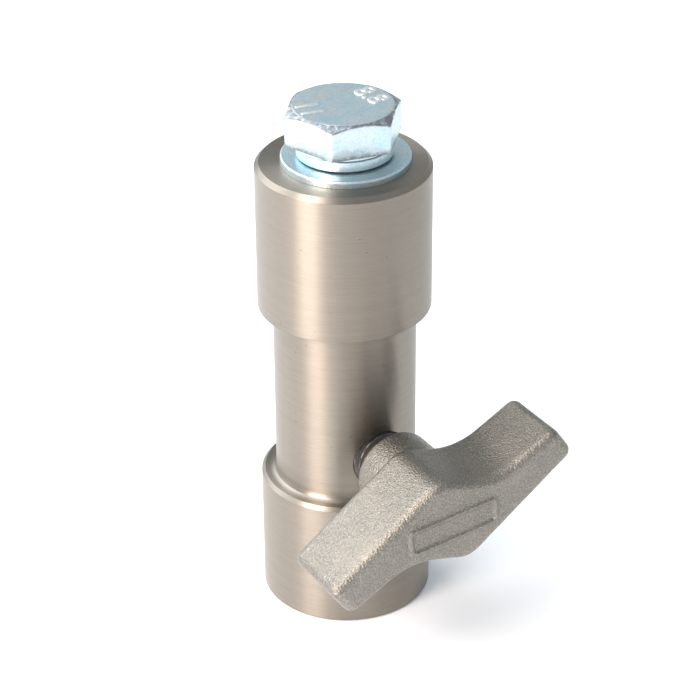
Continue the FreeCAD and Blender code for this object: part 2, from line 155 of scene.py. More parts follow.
class BoltSizes(bpy.types.PropertyGroup):
    """The yoke bolt and the clamp stud."""

    across_flats: length("Across flats", 17.0 * MM, "Hexagon")
    head_height: length("Head height", 6.4 * MM, "With the washer face")
    washer_face: length("Washer face", 8.2 * MM, "Radius of the turned face under the head")
    face_height: length("Face height", 0.5 * MM, "Turned face under the head")
    disc_radius: length("Disc radius", 8.3 * MM, "Flat disc on the head")
    crown_angle: angle("Crown angle", 30.0, "Chamfer over the corners")
    corner_turn: angle("Corner turn", 48.0, "One corner of the hexagon, round from +X")
    corner_round: length("Corner round", 0.45 * MM, "Rounding of the forged corners")
    edge_soft: length("Edge softness", 0.14 * MM, "Rounding of the head's other edges")
    mark_height: length("Mark height", 0.15 * MM, "Raised marks on the head")
    mark_ring: length("Mark ring", 5.4 * MM, "Bolt's axis to the middle of each mark")
    mark_size: length("Mark size", 5.1 * MM, "Height of the strength class figures")
    class_turn: angle("Class place", -86.0, "Strength class, round from +Y")
    bars_turn: angle("Bars place", 80.0, "Two plain bars, round from +Y")
    thread_radius: length("Thread radius", 4.97 * MM, "Outside of the M10 thread")
    thread_depth: length("Thread depth", 0.92 * MM, "Crest to root")
    thread_pitch: length("Thread pitch", 1.5 * MM, "One turn")
    point_chamfer: length("Point chamfer", 0.8 * MM, "End of a screw")
    segments: IntProperty(name="Segments", description="Facets round a screw", default=96, min=24)


class WasherSizes(bpy.types.PropertyGroup):
    """The plain washer and the split spring washer."""

    plain_hole: length("Plain hole", 5.45 * MM, "Radius of the plain washer's hole")
    plain_edge: length("Plain edge", 0.2 * MM, "Edge rounded by stamping")
    spring_radius: length("Spring radius", 7.85 * MM, "Outside of the spring washer")
    spring_hole: length("Spring hole", 5.35 * MM, "Inside of the spring washer")
    spring_wire: length("Spring wire", 1.75 * MM, "Height of the wire")
    spring_gap: angle("Spring gap", 14.0, "Angle of the split")
    spring_split: angle("Split place", 58.0, "Middle of the split, round from +X")
    spring_edge: length("Spring edge", 0.22 * MM, "Rounding along the wire")


class HandleSizes(bpy.types.PropertyGroup):
    """The cast tee handle."""

    skin_cell: length("Skin cell", 0.2 * MM, "Grid that the casting's skin is rebuilt on")
    skin_wave: length("Skin wave", 0.09 * MM, "Height of the slow waves in the casting's skin")
    waves: FloatProperty(name="Waves", description="Slow waves to the metre", default=260.0)
    softening: IntProperty(name="Softening", description="Smoothing of the edges", default=8, min=0)


class PadSizes(bpy.types.PropertyGroup):
    """The thrust pad in the clamp screw's nose."""

    thickness: length("Thickness", 1.5 * MM, "Disc that presses on the stud")
    stem_radius: length("Stem radius", 1.4 * MM, "Stem that holds the pad in the nose")
    play: length("Play", 0.05 * MM, "Room round the pad inside the nose")
    face_round: length("Face round", 0.3 * MM, "Edge of the pressing face")
    edge_round: length("Edge round", 0.1 * MM, "Other edges")


class Finishes(bpy.types.PropertyGroup):
    """Colours of the metals and the floor."""

    turned: colour("Turned metal", (0.306, 0.277, 0.24), "Nickel plate on the turned body")
    turned_deep: colour("Turned grooves", (0.243, 0.214, 0.181), "Fine grooves left by the tool")
    turned_pit: colour("Turned pits", (0.16, 0.14, 0.12), "A few dark pits")
    zinc: colour("Zinc plate", (0.52, 0.64, 0.69), "Blue-passivated zinc")
    zinc_cyan: colour("Zinc bloom", (0.40, 0.62, 0.71), "Bloom of the passivation")
    zinc_straw: colour("Zinc straw", (0.60, 0.61, 0.56), "Straw patches of the passivation")
    # Painted highlight: bright glints painted into the plating's colour.
    zinc_painted_glint: colour("Zinc glint", (0.78, 0.86, 0.90), "Bright crystals of the plating")
    zinc_scuff: colour("Zinc scuffs", (0.24, 0.27, 0.29), "Handling marks")
    # Painted shade as well as rubbed wear: this dark tone also lies along the bolt head's lower
    # edge.
    zinc_rub_and_shade: colour("Zinc rubs", (0.2, 0.19, 0.21), "Corners rubbed through to the steel")
    # Painted highlight as well as rubbed wear: both colours of the raised marks are lighter than
    # the plain zinc.
    wear_and_painted_light: colour("Worn zinc", (0.60, 0.68, 0.72), "Plating on the raised marks")
    mark_rub_and_highlight: colour("Rubbed zinc", (0.93, 0.95, 0.96), "Raised marks rubbed bright")
    cast: colour("Cast metal", (0.30, 0.284, 0.255), "Nickel plate on the sand-cast skin")
    # Painted shade: darkens the low places of the grain.
    cast_pit_shade: colour("Cast pits", (0.18, 0.17, 0.15), "Low places of the grain")
    # Painted highlight: scattered bright flecks.
    cast_fleck_highlight: colour("Cast flecks", (0.66, 0.63, 0.58), "High places that catch the light")
    cast_cloud: colour("Cast clouds", (0.38, 0.345, 0.3), "Slow changes of tone")
    # Painted shade: the stud's steel is darkened so the gap between the handle's boss and the waist
    # reads dark.
    steel: colour("Stud steel", (0.13, 0.125, 0.12), "Oiled steel of the clamp screw")
    steel_stain: colour("Stud stains", (0.075, 0.068, 0.06), "Dried oil")
    brass: colour("Pad brass", (0.72, 0.52, 0.24), "Thrust pad")
    brass_dull: colour("Dull brass", (0.46, 0.31, 0.14), "Tarnish on the thrust pad")
    floor: colour("Floor", (0.94, 0.955, 0.97), "Plain pale floor")
    floor_lift: colour("Floor lift", (0.55, 0.75, 1.0), "Cool light that keeps its shadow pale")


class StageSizes(bpy.types.PropertyGroup):
    """The floor, the lights and the camera."""

    azimuth: angle("Azimuth", -31.2, "Camera, round from straight in front")
    elevation: angle("Elevation", 29.946, "Camera above the floor")
    roll: angle("Roll", -0.388, "Camera about its own line of sight")
    distance: length("Distance", 405.98 * MM, "Camera to the point that it looks at")
    aim: FloatVectorProperty(
        name="Aim", description="The point that the camera looks at", size=3,
        default=(0.72 * MM, -0.44 * MM, 46.66 * MM), unit="LENGTH", subtype="TRANSLATION",
    )
    lens: FloatProperty(name="Lens", description="Focal length in millimetres", default=126.05)
    shift: FloatProperty(name="Shift", description="Camera shift up the picture", default=-0.0118)
    key: FloatProperty(name="Key light", description="Watts of the left-hand window", default=5.2)
    top: FloatProperty(name="Top light", description="Watts of the overhead softbox", default=3.0)
    back: FloatProperty(name="Back light", description="Watts of the card behind", default=4.6)
    room: FloatProperty(name="Room light", description="Strength of the surroundings", default=0.6)


class AdaptorLooks(bpy.types.PropertyGroup):
    """Everything that a user would change."""

    spigot: PointerProperty(type=SpigotSizes)
    bolt: PointerProperty(type=BoltSizes)
    washers: PointerProperty(type=WasherSizes)
    handle: PointerProperty(type=HandleSizes)
    pad: PointerProperty(type=PadSizes)
    finishes: PointerProperty(type=Finishes)
    stage: PointerProperty(type=StageSizes)


def looks():
    """The sizes and colours in use."""
    return bpy.context.scene.adaptor_looks


# ------------------------------------------------------------------------------- node writing


class Term:
    """An output socket that takes part in arithmetic: each operator adds its Math node."""

    def __init__(self, graph, node, output=0):
        self.graph = graph
        self.node = node
        self.socket = node.outputs[output] if node.outputs else None

    def out(self, output):
        """Another output of the same node."""
        return Term(self.graph, self.node, output)

    def math(self, operation, *values):
        return self.graph.add("ShaderNodeMath", {"operation": operation}, dict(enumerate(values)))

    def __add__(self, other):
        return self.math("ADD", self, other)

    def __sub__(self, other):
        return self.math("SUBTRACT", self, other)

    def __rsub__(self, other):
        return self.math("SUBTRACT", other, self)

    def __mul__(self, other):
        return self.math("MULTIPLY", self, other)

    def __truediv__(self, other):
        return self.math("DIVIDE", self, other)

    def __rtruediv__(self, other):
        return self.math("DIVIDE", other, self)

    def hypotenuse(self, other):
        """Distance across two numbers at right angles."""
        return self.math("SQRT", self * self + other * other)

    __radd__ = __add__
    __rmul__ = __mul__


class Graph:
    """Writes the nodes of one tree."""

    def __init__(self, tree):
        self.tree = tree

    def add(self, kind, settings=None, inputs=None, output=0):
        """A node of any type: its settings first, then the values or links of its sockets."""
        node = self.tree.nodes.new(kind)
        for name, value in (settings or {}).items():
            setattr(node, name, value)
        for key, value in (inputs or {}).items():
            if isinstance(value, Term):
                self.tree.links.new(value.socket, node.inputs[key])
            else:
                node.inputs[key].default_value = value
        return Term(self, node, output)

    def axes(self, vector):
        """The X, Y and Z of a vector."""
        parts = self.add("ShaderNodeSeparateXYZ", {}, {"Vector": vector})
        return parts.out("X"), parts.out("Y"), parts.out("Z")


class Material(Graph):
    """A procedural metal read in Object coordinates."""

    def __init__(self, name):
        self.material = bpy.data.materials.new(FINISH_PREFIX + name)
        self.material.use_nodes = True
        super().__init__(self.material.node_tree)
        self.tree.nodes.clear()
        self.place = self.add("ShaderNodeTexCoord").out("Object")

    def scaled(self, scale):
        """Object coordinates times a scale along each axis."""
        return self.add("ShaderNodeMapping", {}, {"Vector": self.place, "Scale": scale})

    def noise(self, scale, detail=2.0, roughness=0.5, place=None):
        """Cloudy noise from 0 to 1, with about scale features to the metre."""
        inputs = {
            "Vector": place or self.place, "Scale": scale, "Detail": detail, "Roughness": roughness,
        }
        return self.add("ShaderNodeTexNoise", {}, inputs)

    def line_noise(self, along, scale, detail):
        """Noise that changes along one number only."""
        inputs = {"W": along, "Scale": scale, "Detail": detail, "Roughness": 0.6}
        return self.add("ShaderNodeTexNoise", {"noise_dimensions": "1D"}, inputs)

    def cells(self, scale, feature="F1"):
        """Distance to the nearest of many scattered points."""
        settings = {"feature": feature}
        return self.add("ShaderNodeTexVoronoi", settings, {"Vector": self.place, "Scale": scale})

    def mask(self, value, low, high):
        """A number turned into 0 below low, 1 above high."""
        inputs = {"Value": value, "From Min": low, "From Max": high}
        return self.add("ShaderNodeMapRange", {"interpolation_type": "SMOOTHSTEP"}, inputs)

    def mix(self, factor, first, second):
        """A blend of two colours."""
        settings = {"data_type": "RGBA"}
        return self.add("ShaderNodeMix", settings, {0: factor, 6: first, 7: second}, output=2)

    def bump(self, height, distance, strength=1.0, under=None):
        """A normal from a height in metres times distance."""
        inputs = {"Height": height, "Distance": distance, "Strength": strength}
        if under:
            inputs["Normal"] = under
        return self.add("ShaderNodeBump", {}, inputs)

    def finish(self, **sockets):
        """The Principled surface, with sockets named in words joined by underscores."""
        inputs = {name.replace("_", " "): value for name, value in sockets.items()}
        surface = self.add("ShaderNodeBsdfPrincipled", {}, inputs)
        self.add("ShaderNodeOutputMaterial", {}, {"Surface": surface})
        return self.material


class Shape(Graph):
    """A Geometry Nodes tree with named inputs, ending in real, painted geometry."""

    def __init__(self, name):
        super().__init__(bpy.data.node_groups.new(name, "GeometryNodeTree"))
        for side in ("INPUT", "OUTPUT"):
            self.tree.interface.new_socket(
                "Geometry", in_out=side, socket_type="NodeSocketGeometry"
            )
        self.source = self.tree.nodes.new("NodeGroupInput")

    def input(self, name, kind="Float"):
        """A named input of the tree."""
        self.tree.interface.new_socket(name, in_out="INPUT", socket_type="NodeSocket" + kind)
        return Term(self, self.source, name)

    @property
    def geometry(self):
        return Term(self, self.source, "Geometry")

    def vector(self, x, y, z):
        return self.add("ShaderNodeCombineXYZ", {}, {"X": x, "Y": y, "Z": z})

    def close(self, geometry, finish):
        """Realizes and paints the geometry, and ends the tree."""
        real = self.add("GeometryNodeRealizeInstances", {}, {"Geometry": geometry})
        smooth = self.add("GeometryNodeSetShadeSmooth", {}, {"Geometry": real})
        painted = self.add("GeometryNodeSetMaterial", {}, {"Geometry": smooth, "Material": finish})
        self.add("NodeGroupOutput", {}, {"Geometry": painted})
        return self.tree


def link(thing):
    """Puts an object into the scene."""
    bpy.context.scene.collection.objects.link(thing)


def grow(name, tree, values, points=()):
    """Runs a shape tree on a chain of points and returns the result as a plain mesh object."""
    chain = bpy.data.meshes.new(name)
    chain.from_pydata(points, [(i, i + 1) for i in range(len(points) - 1)], [])
    piece = bpy.data.objects.new(name, chain)
    link(piece)
    return run_tree(piece, tree, values)


def run_tree(piece, tree, values):
    """Runs a shape tree with named inputs on an object and settles it."""
    modifier = piece.modifiers.new(tree.name, "NODES")
    modifier.node_group = tree
    for item in tree.interface.items_tree:
        if item.in_out == "INPUT" and item.name in values:
            modifier[item.identifier] = values[item.name]
    return settle(piece)


def settle(piece):
    """Turns an object's modifiers into its own mesh."""
    graph = bpy.context.evaluated_depsgraph_get()
    mesh = bpy.data.meshes.new_from_object(piece.evaluated_get(graph))
    piece.modifiers.clear()
    piece.data = mesh
    mesh.name = piece.name
    return piece


# -------------------------------------------------------------------------------- mesh helpers


def rounded(corners, supports=0.04 * MM):
    """A profile of (radius, height, rounding) corners as points, each rounding a short arc."""
    points = []
    for index, (radius, height, rounding) in enumerate(corners):
        here = Vector((radius, 0, height))
        if rounding == 0 or index in (0, len(corners) - 1):
            points.append(here)
            continue
        before = Vector((corners[index - 1][0], 0, corners[index - 1][1])) - here
        after = Vector((corners[index + 1][0], 0, corners[index + 1][1])) - here
        half = before.angle(after) / 2
        reach = rounding / math.tan(half)
        start = here + before.normalized() * reach
        end = here + after.normalized() * reach
        points.append(start + before.normalized() * supports)
        for step in range(5):
            along = step / 4
            points.append(
                start * (1 - along) ** 2 + here * 2 * along * (1 - along) + end * along**2
            )
        points.append(end + after.normalized() * supports)
    return points


def turned(name, profile, segments, finish):
    """A profile turned round Z into a shell whose faces point outwards."""
    form = grow(name, lathe_tree(), {"Segments": segments, "Finish": finish}, profile)
    face_out(form.data)
    return form


def with_rings(points, low, high, step):
    """The profile with more points on its upright runs between two heights."""
    filled = [points[0]]
    for point in points[1:]:
        last = filled[-1]
        upright = abs(point.x - last.x) < 1e-6 and abs(point.z - last.z) > step
        if upright and min(point.z, last.z) < high and max(point.z, last.z) > low:
            marks = [low + step * i for i in range(int((high - low) / step) + 1)]
            marks = [z for z in marks if min(point.z, last.z) < z < max(point.z, last.z)]
            marks.sort(reverse=point.z < last.z)
            filled += [Vector((point.x, 0, z)) for z in marks]
        filled.append(point)
    return filled


def sharpen(mesh, degrees):
    """Smooth faces, with edges sharper than an angle kept crisp."""
    mesh.shade_smooth()
    mesh.set_sharp_from_angle(angle=math.radians(degrees))


def join(name, pieces):
    """Joins pieces into one mesh object and removes them."""
    whole = bmesh.new()
    for piece in pieces:
        whole.from_mesh(piece.data)
    mesh = bpy.data.meshes.new(name)
    whole.to_mesh(mesh)
    whole.free()
    for material in pieces[0].data.materials:
        mesh.materials.append(material)
    for piece in pieces:
        bpy.data.objects.remove(piece)
    result = bpy.data.objects.new(name, mesh)
    link(result)
    return result


def face_out(mesh, fill=False):
    """Merges doubled points, fills open ends if asked and points every face outwards."""
    shell = bmesh.new()
    shell.from_mesh(mesh)
    bmesh.ops.remove_doubles(shell, verts=shell.verts, dist=1e-7)
    if fill:
        rims = [edge for edge in shell.edges if edge.is_boundary]
        bmesh.ops.holes_fill(shell, edges=rims, sides=0)
    bmesh.ops.recalc_face_normals(shell, faces=shell.faces)
    shell.to_mesh(mesh)
    shell.free()


def move(piece, matrix):
    """Puts a place into a piece's own mesh."""
    piece.data.transform(matrix)
    piece.data.update()


def cut(piece, tool):
    """Takes the tool's shape out of the piece and removes the tool."""
    modifier = piece.modifiers.new("cut", "BOOLEAN")
    modifier.operation = "DIFFERENCE"
    modifier.solver = "EXACT"
    modifier.object = tool
    settle(piece)
    bpy.data.objects.remove(tool)


def hand_over(piece, body, slot, *nodes):
    """A finished piece rides on its body and stands for its CAD nodes."""
    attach(piece, body)
    if nodes:
        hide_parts(*nodes)


# --------------------------------------------------------------------------------- shape trees


def lathe_tree():
    """A profile in the XZ plane turned round Z: a grid whose rows are the profile's points."""
    shape = Shape("Turned form")
    segments = shape.input("Segments", "Int")
    finish = shape.input("Finish", "Material")
    count = shape.add(
        "GeometryNodeAttributeDomainSize", {"component": "MESH"}, {"Geometry": shape.geometry}
    )
    columns = segments + 1
    grid = shape.add("GeometryNodeMeshGrid", {}, {"Vertices X": count, "Vertices Y": columns})
    index = shape.add("GeometryNodeInputIndex")
    column = index.math("MODULO", index, columns)
    row = index.math("ROUND", (index - column) / columns)
    settings = {"data_type": "FLOAT_VECTOR", "domain": "POINT"}
    position = shape.add("GeometryNodeInputPosition")
    sampled = {"Geometry": shape.geometry, "Value": position, "Index": row}
    point = shape.add("GeometryNodeSampleIndex", settings, sampled)
    radius, _, height = shape.axes(point)
    turn = column * FULL_TURN / segments
    ring = shape.vector(
        radius * turn.math("COSINE", turn), radius * turn.math("SINE", turn), height
    )
    formed = shape.add("GeometryNodeSetPosition", {}, {"Geometry": grid, "Position": ring})
    closed = {"Geometry": formed, "Distance": 1e-6}
    return shape.close(shape.add("GeometryNodeMergeByDistance", {}, closed), finish)


def thread_tree():
    """A screw thread round Z: each point's radius follows its place in the helix."""
    shape = Shape("Screw thread")
    columns = shape.input("Segments", "Int")
    low = shape.input("Low end")
    high = shape.input("High end")
    radius = shape.input("Crest radius")
    depth = shape.input("Depth")
    pitch = shape.input("Pitch")
    chamfer = shape.input("Point chamfer")
    finish = shape.input("Finish", "Material")
    rows = (high - low) / pitch * THREAD_ROWS
    rows = rows.math("CEIL", rows) + 1
    grid = shape.add("GeometryNodeMeshGrid", {}, {"Vertices X": rows, "Vertices Y": columns + 1})
    index = shape.add("GeometryNodeInputIndex")
    column = index.math("MODULO", index, columns + 1)
    row = index.math("ROUND", (index - column) / (columns + 1))
    turn = column * FULL_TURN / columns
    height = low + row * (high - low) / (rows - 1)
    phase = (height - low) / pitch - column / columns
    phase = phase.math("FRACT", phase)
    flank = phase.math("PINGPONG", phase, 0.5) * 2.6 - 0.15
    flank = flank.math("MINIMUM", flank.math("MAXIMUM", flank, 0.0), 1.0)
    crest = radius - depth * flank
    point = radius - chamfer * 1.25 + (height - low)
    reach = crest.math("MINIMUM", crest, point)
    ring = shape.vector(
        reach * turn.math("COSINE", turn), reach * turn.math("SINE", turn), height
    )
    formed = shape.add("GeometryNodeSetPosition", {}, {"Geometry": grid, "Position": ring})
    closed = {"Geometry": formed, "Distance": 1e-6}
    return shape.close(shape.add("GeometryNodeMergeByDistance", {}, closed), finish)


def spring_tree():
    """A flat-sided wire swept round one open turn that climbs."""
    shape = Shape("Spring washer")
    inner = shape.input("Inner radius")
    outer = shape.input("Outer radius")
    wire = shape.input("Wire height")
    rise = shape.input("Rise")
    start = shape.input("Start angle")
    sweep = shape.input("Sweep angle")
    rounding = shape.input("Edge rounding")
    finish = shape.input("Finish", "Material")
    line = shape.add("GeometryNodeMeshLine", {}, {"Count": WIRE_POINTS})
    along = shape.add("GeometryNodeInputIndex") / (WIRE_POINTS - 1)
    turn = start + sweep * along
    radius = (inner + outer) / 2
    path = shape.vector(
        radius * turn.math("COSINE", turn), radius * turn.math("SINE", turn),
        wire / 2 + rise * along,
    )
    bent = shape.add("GeometryNodeSetPosition", {}, {"Geometry": line, "Position": path})
    curve = shape.add("GeometryNodeMeshToCurve", {}, {"Mesh": bent})
    level = shape.add("GeometryNodeSetCurveNormal", {"mode": "Z_UP"}, {"Curve": curve})
    section = shape.add(
        "GeometryNodeCurvePrimitiveQuadrilateral", {}, {"Width": outer - inner, "Height": wire}
    )
    soft = shape.add(
        "GeometryNodeFilletCurve", {"mode": "POLY"},
        {"Curve": section, "Radius": rounding, "Count": 4},
    )
    swept = {"Curve": level, "Profile Curve": soft, "Fill Caps": True}
    return shape.close(shape.add("GeometryNodeCurveToMesh", {}, swept), finish)


# ----------------------------------------------------------------------------------- materials


def turned_metal():
    """Nickel over turning marks: fine rings of the tool, streaks along them, a few dark pits."""
    tints = looks().finishes
    metal = Material("turned_metal")
    x, y, z = metal.axes(metal.place)
    tool_path = z + x.hypotenuse(y)
    fine = metal.line_noise(tool_path, 9000.0, 3.0)
    broad = metal.line_noise(tool_path, 700.0, 2.0)
    streak = metal.noise(1.0, 3.0, place=metal.scaled((420.0, 420.0, 9000.0)))
    cloud = metal.noise(130.0, 3.0)
    pit = metal.mask(metal.cells(420.0), 0.035, 0.06)
    depth = metal.mask(fine * 0.45 + streak * 0.4 + broad * 0.15, 0.22, 0.66)
    tone = metal.mix(depth, tints.turned_deep, tints.turned)
    tone = metal.mix(pit, tints.turned_pit, tone)
    rough = 0.34 + streak * 0.04 + cloud * 0.03
    normal = metal.bump(fine * 0.6 + streak * 0.4, 0.0000035)
    return metal.finish(
        Base_Color=tone, Metallic=1.0, Roughness=rough, Anisotropic=0.85,
        Anisotropic_Rotation=0.25, Normal=normal,
    )


def crown_wear_and_skirt_shade(metal):
    """Near 1 on the bolt head's chamfered corners, as rubbed wear, and fainter along its lower
    edge, as painted shade.
    """
    sizes = looks().bolt
    seat, flat = HEAD_TOP - sizes.head_height, sizes.across_flats / 2
    x, y, z = metal.axes(metal.place)
    radius = x.hypotenuse(y)
    fall = (radius - sizes.disc_radius) * math.tan(sizes.crown_angle)
    gap = HEAD_TOP - sizes.mark_height - fall - z
    crown = 1 - metal.mask(gap.math("ABSOLUTE", gap), 0.12 * MM, 0.45 * MM)
    crown = crown * metal.mask(radius, sizes.disc_radius - 0.25 * MM, sizes.disc_radius)
    # Painted shade: a dark band along the lower edge of the hexagon's faces.
    skirt_shade = metal.mask(z, seat, seat + 0.4 * MM) - metal.mask(z, seat + 0.7 * MM, seat + 1.5 * MM)
    return crown + skirt_shade * 0.8 * metal.mask(radius, flat - 0.25 * MM, flat - 0.05 * MM)


def zinc_plate():
    """Bright zinc with a blue passivation: cyan bloom, faint straw patches, painted glints, rubbed
    corners and painted shade along the head's lower edge.
    """
    tints = looks().finishes
    metal = Material("zinc_plate")
    bloom = metal.noise(330.0, 3.0)
    straw = metal.noise(160.0, 2.0, place=metal.scaled((1.0, 1.3, 0.8)))
    grain = metal.noise(3200.0, 4.0, 0.6)
    dent = metal.noise(620.0, 2.0)
    scuff = metal.mask(metal.noise(1500.0, 5.0, 0.75), 0.6, 0.72)
    # Painted highlight: a speckle mask that lightens the zinc into small glints.
    glint_speckle = metal.mask(metal.noise(2600.0, 3.0, 0.7), 0.3, 0.7)
    tone = metal.mix(metal.mask(bloom, 0.4, 0.72), tints.zinc, tints.zinc_cyan)
    tone = metal.mix(metal.mask(straw, 0.58, 0.76), tone, tints.zinc_straw)
    tone = metal.mix(glint_speckle * 0.45, tone, tints.zinc_painted_glint)
    tone = metal.mix(scuff * 0.5, tone, tints.zinc_scuff)
    # Rubbed wear on the crown and painted shade along the head's lower edge, broken up by noise.
    wear_and_painted_light = crown_wear_and_skirt_shade(metal) * metal.mask(metal.noise(1100.0, 4.0, 0.65), 0.3, 0.55)
    tone = metal.mix(wear_and_painted_light * 0.85, tone, tints.zinc_rub_and_shade)
    normal = metal.bump(dent, 0.00012, 0.8)
    normal = metal.bump(grain, 0.00003, 0.9, normal)
    return metal.finish(
        Base_Color=tone, Metallic=0.95, Roughness=0.27 + grain * 0.16 + scuff * 0.15,
        Normal=normal,
    )


def worn_zinc():
    """Raised marks, their plating lighter than the head's: partly rubbed wear, partly painted
    highlight.
    """
    tints = looks().finishes
    metal = Material("worn_zinc")
    rub = metal.noise(2600.0, 4.0, 0.7)
    # Painted highlight and rubbing: the marks are lightened towards a near white.
    tone = metal.mix(metal.mask(rub, 0.35, 0.7), tints.wear_and_painted_light, tints.mark_rub_and_highlight)
    return metal.finish(
        Base_Color=tone, Metallic=0.9, Roughness=0.3 + rub * 0.2,
        Normal=metal.bump(rub, 0.00003),
    )


def cast_metal():
    """A sand-cast skin under nickel: painted shade darkens its grain's low places and painted
    highlight lightens scattered flecks.
    """
    tints = looks().finishes
    metal = Material("cast_metal")
    grain = metal.noise(3300.0, 3.0, 0.64)
    pebble = metal.cells(3400.0, "SMOOTH_F1")
    cloud = metal.noise(150.0, 3.0)
    fleck = metal.mask(metal.noise(4600.0, 2.0), 0.56, 0.68)
    height = grain * 0.7 - pebble * 0.45
    # Painted shade: the grain's low places, from the same noise that raises the bump, are darkened.
    tone = metal.mix(metal.mask(grain, 0.32, 0.66), tints.cast_pit_shade, tints.cast)
    # Painted highlight: scattered flecks lightened.
    tone = metal.mix(fleck * 0.3, tone, tints.cast_fleck_highlight)
    tone = metal.mix(metal.mask(cloud, 0.45, 0.7) * 0.2, tone, tints.cast_cloud)
    rough = 0.42 - fleck * 0.14 + cloud * 0.06
    return metal.finish(
        Base_Color=tone, Metallic=1.0, Roughness=rough, Normal=metal.bump(height, 0.0002, 1.0),
    )


def stud_steel():
    """Screw steel with rolled flanks and oil stains, its tone darkened as painted shade for the gap
    round the screw.
    """
    tints = looks().finishes
    metal = Material("stud_steel")
    grain = metal.noise(2000.0, 4.0, 0.6)
    stain = metal.mask(metal.noise(380.0, 3.0), 0.5, 0.72)
    tone = metal.mix(stain, tints.steel, tints.steel_stain)
    return metal.finish(
        Base_Color=tone, Metallic=1.0, Roughness=0.36 + grain * 0.15,
        Normal=metal.bump(grain, 0.00001),
    )


def pad_brass():
    """Brass with turning rings on its face and a dull, handled tone."""
    tints = looks().finishes
    metal = Material("pad_brass")
    x, y, z = metal.axes(metal.place)
    ring = metal.line_noise(x.hypotenuse(z - SCREW_HEIGHT) + y, 6000.0, 3.0)
    dull = metal.mask(metal.noise(500.0, 3.0), 0.45, 0.75)
    tone = metal.mix(dull, tints.brass, tints.brass_dull)
    return metal.finish(
        Base_Color=tone, Metallic=1.0, Roughness=0.28 + dull * 0.2,
        Normal=metal.bump(ring, 0.000004),
    )


def finish_of(write):
    """The material that one of these functions writes, written once and then shared."""
    return bpy.data.materials.get(FINISH_PREFIX + write.__name__) or write()


def pale_floor():
    """A plain pale sweep."""
    tints = looks().finishes
    floor = Material("pale_floor")
    return floor.finish(
        Base_Color=tints.floor, Roughness=0.9, Specular_IOR_Level=0.1,
        Emission_Color=tints.floor_lift, Emission_Strength=0.1,
    )


# --------------------------------------------------------------------------------------- body


def spigot_profile(sizes):
    """The turned body's half section, from the drill's cone round to the socket's ceiling."""
    edge = sizes.edge_break
    collar, waist = sizes.collar_radius, sizes.waist_radius
    bore, tapped = sizes.socket_radius, sizes.tapped_radius
    tapped_end = BODY_TOP - sizes.tapped_depth
    cone_point = tapped_end - tapped * math.tan(sizes.drill_slope)
    return rounded([
        (0.0, cone_point, 0.0),
        (tapped, tapped_end, 0.05 * MM),
        (tapped, BODY_TOP - sizes.tapped_mouth, 0.05 * MM),
        (tapped + sizes.tapped_mouth, BODY_TOP, edge),
        (collar - sizes.top_chamfer, BODY_TOP, edge),
        (collar, BODY_TOP - sizes.top_chamfer, edge),
        (collar, sizes.waist_head, 0.12 * MM),
        (waist, sizes.waist_head, 0.1 * MM),
        (waist, sizes.waist_foot, sizes.waist_fillet),
        (collar - sizes.shoulder_chamfer, sizes.waist_foot, edge),
        (collar, sizes.waist_foot - sizes.shoulder_chamfer, edge),
        (collar, sizes.foot_chamfer, edge),
        (collar - sizes.foot_chamfer, 0.0, edge),
        (bore + sizes.socket_mouth, 0.0, edge),
        (bore, sizes.socket_mouth, edge),
        (bore, sizes.socket_depth, 0.3 * MM),
        (0.0, sizes.socket_depth, 0.0),
    ])


def screw_hole(sizes, finish):
    """A bar as wide as the clamp screw's hole, flared where it leaves the waist."""
    radius, inside = sizes.tapped_radius, sizes.waist_radius - sizes.hole_flare_depth
    outside = inside + sizes.hole_flare
    profile = [
        (0.0, 0.0), (radius, 0.0), (radius, inside), (radius + sizes.hole_flare, outside),
        (0.0, outside),
    ]
    points = [Vector((reach, 0, depth)) for reach, depth in profile]
    bar = turned("screw_hole", points, SCREW_FACETS, finish)
    move(bar, ALONG_SCREW)
    return bar


class ADAPTOR_OT_spigot(bpy.types.Operator):
    """Build the turned body with its socket and both tapped holes"""

    bl_idname = "adaptor.spigot"
    bl_label = "Turned Body"

    def execute(self, context):
        sizes = looks().spigot
        finish = finish_of(turned_metal)
        reach = sizes.tapped_radius + HOLE_MARGIN
        profile = with_rings(
            spigot_profile(sizes), SCREW_HEIGHT - reach, SCREW_HEIGHT + reach, RING_STEP
        )
        body = turned("turned_body", profile, sizes.segments, finish)
        cut(body, screw_hole(sizes, finish))
        sharpen(body.data, 28)
        hand_over(body, "spigot", "turned_metal", "spigot_body")
        return {"FINISHED"}


# --------------------------------------------------------------------------------------- bolt


def hexagon_radius(turn, sizes):
    """Distance from the axis to the hexagon's outline, its corners rounded."""
    flat = sizes.across_flats / 2
    from_corner = (turn + math.pi / 6) % (math.pi / 3) - math.pi / 6
    centre = (flat - sizes.corner_round) / math.cos(math.pi / 6)
    straight = flat / math.cos(math.pi / 6 - abs(from_corner))
    inside = sizes.corner_round**2 - (centre * math.sin(from_corner)) ** 2
    meets = math.atan2(sizes.corner_round / 2, centre + sizes.corner_round * math.cos(math.pi / 6))
    if abs(from_corner) < meets and inside > 0:
        return centre * math.cos(from_corner) + math.sqrt(inside)
    return straight


